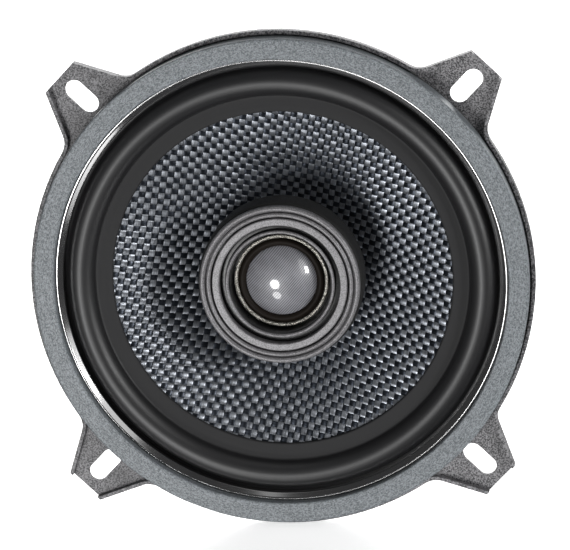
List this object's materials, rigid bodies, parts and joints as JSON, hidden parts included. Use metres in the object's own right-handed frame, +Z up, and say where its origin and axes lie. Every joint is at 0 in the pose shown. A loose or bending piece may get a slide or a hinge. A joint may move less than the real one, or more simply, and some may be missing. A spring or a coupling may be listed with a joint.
{
  "type": "coaxial car speaker",
  "caption": "Round car loudspeaker: a stamped basket with slotted ears, a woven cone on a half-roll rubber surround, and a dome tweeter on a post at its centre.",
  "frame": {"origin": "on the speaker's axis, in the plane of the flange's rear seating face", "axes": "front of the speaker faces -Y, +Z is up, +X is to the right of a listener facing it"},
  "size_m": [0.13, 0.0574, 0.13],
  "materials": {
    "textured_black_steel": "satin black paint with a fine orange-peel texture",
    "slate_gasket": "matt blue-grey with a fine circular grain",
    "glossy_black_bead": "glossy moulded bead",
    "rivet_steel": "zinc-plated",
    "zinc_plate": "zinc-plated, turned",
    "ferrite": "sintered, matt",
    "phenolic_board": "laminated, satin",
    "tinned_brass": "tinned",
    "solder": "bright, slightly frosted",
    "capacitor_can": "drawn aluminium",
    "capacitor_sleeve": "shrunk sleeve",
    "adhesive": "dried contact adhesive",
    "tinned_wire": "tinned",
    "shrink_sleeve": "shrunk sleeve",
    "lead_insulation": "PVC",
    "black_housing": "moulded, fine texture",
    "satin_grey_trim": "satin metallic moulding",
    "black_throat": "moulded, satin gloss",
    "bronze_ring": "fine-textured metal",
    "nickel_magnet": "nickel-plated",
    "woven_cone": "plain weave of light and dark tows",
    "black_rubber": "moulded butyl rubber",
    "spider_cloth": "resin-dipped cotton, corrugated",
    "coil_former": "polyimide film",
    "kraft_collar": "kraft paper",
    "coil_wire": "enamelled copper",
    "tinsel_braid": "braided copper tinsel",
    "silk_dome": "coated silk weave",
    "coated_silk": "dark damping coating on silk"
  },
  "bodies": {
    "frame": {"basket_frame": "textured_black_steel", "front_gasket": "slate_gasket", "surround_clamp_ring": "glossy_black_bead", "plate_rivets": "rivet_steel", "top_plate": "zinc_plate", "ferrite_magnet": "ferrite", "back_plate_pole": "zinc_plate", "terminal_board": "phenolic_board", "terminal_board_rivet": "rivet_steel", "positive_tab": "tinned_brass", "negative_tab": "tinned_brass", "tab_rivets": "rivet_steel", "solder_joints": "solder", "crossover_capacitor": "capacitor_can", "capacitor_sleeve": "capacitor_sleeve", "capacitor_adhesive": "adhesive", "capacitor_leads": "tinned_wire", "lead_sleeve": "shrink_sleeve", "tweeter_leads": "lead_insulation", "tweeter_post": "zinc_plate", "post_washer": "rivet_steel", "post_nut": "rivet_steel", "tweeter_housing": "black_housing", "tweeter_bezel": "satin_grey_trim", "tweeter_face_ring": "satin_grey_trim", "tweeter_throat": "black_throat", "dome_clamp_ring": "bronze_ring", "diaphragm_ring": "black_housing", "tweeter_pot": "zinc_plate", "tweeter_magnet": "nickel_magnet", "tweeter_pole_disc": "zinc_plate"},
    "cone_assembly": {"woofer_cone": "woven_cone", "surround": "black_rubber", "spider": "spider_cloth", "voice_coil_former": "coil_former", "coil_collar": "kraft_collar", "voice_coil_winding": "coil_wire", "lead_eyelets": "rivet_steel", "tinsel_leads": "tinsel_braid"},
    "tweeter_diaphragm": {"tweeter_dome": "silk_dome", "dome_surround": "coated_silk", "tweeter_coil_former": "coil_former", "tweeter_coil_winding": "coil_wire"}
  },
  "joints": [
    {"name": "cone_travel", "type": "slide", "parent": "frame", "child": "cone_assembly", "axis": [0, -1, 0], "range_m": [-0.0035, 0.0035], "stiffness_N_per_m": 2500, "deforming": ["surround", "spider", "tinsel_leads"]},
    {"name": "tweeter_dome_travel", "type": "slide", "parent": "frame", "child": "tweeter_diaphragm", "axis": [0, -1, 0], "range_m": [-0.0003, 0.0003], "stiffness_N_per_m": 2000, "deforming": ["dome_surround"]}
  ]
}
